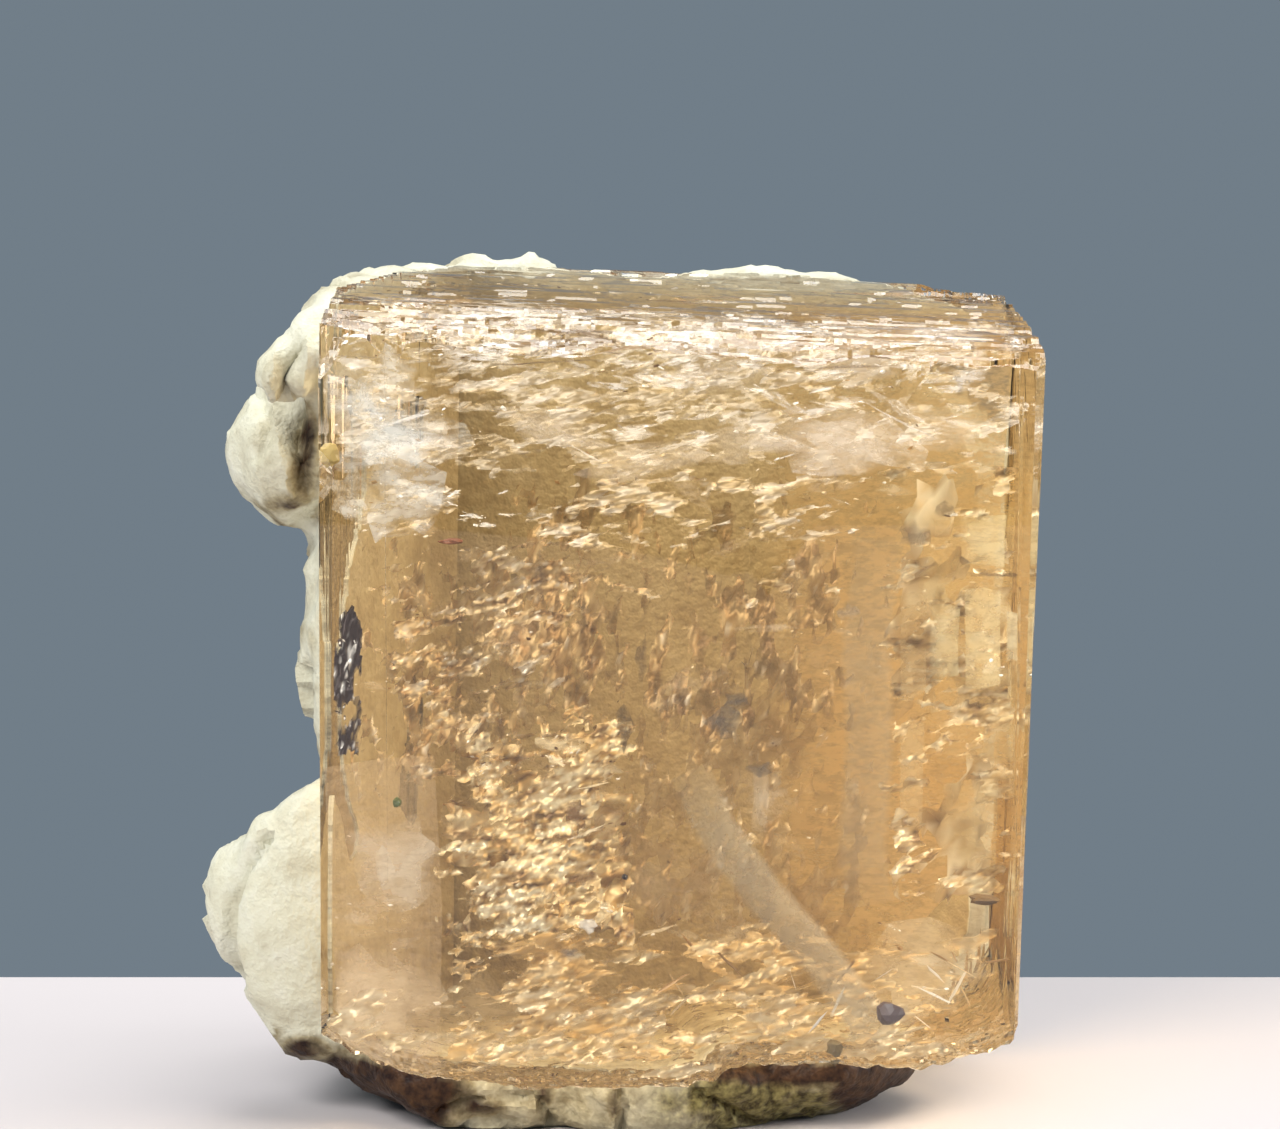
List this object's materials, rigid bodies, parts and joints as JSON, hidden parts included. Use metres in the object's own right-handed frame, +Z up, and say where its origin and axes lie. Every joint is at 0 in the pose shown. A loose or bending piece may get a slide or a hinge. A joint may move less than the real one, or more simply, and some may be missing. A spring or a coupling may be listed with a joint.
{
  "type": "topaz crystal on matrix",
  "caption": "Blocky clear sherry topaz prism with a stepped cleavage top, grown on white feldspar that wraps its back, left edge and foot.",
  "frame": {"origin": "middle of the outer box, on the flat underside that the specimen rests on", "axes": "+Z up along the prism, the broad clear prism face towards -Y, +X to the right of a viewer who faces it"},
  "size_m": [0.0306, 0.0234, 0.0309],
  "materials": {
    "topaz": "clear peach crystal, frosted near the top, with veils and small fractures inside",
    "albite": "waxy cream-white feldspar with brown stains in the hollows"
  },
  "bodies": {
    "root": {"topaz_crystal": "topaz", "albite_matrix": "albite"}
  },
  "joints": []
}
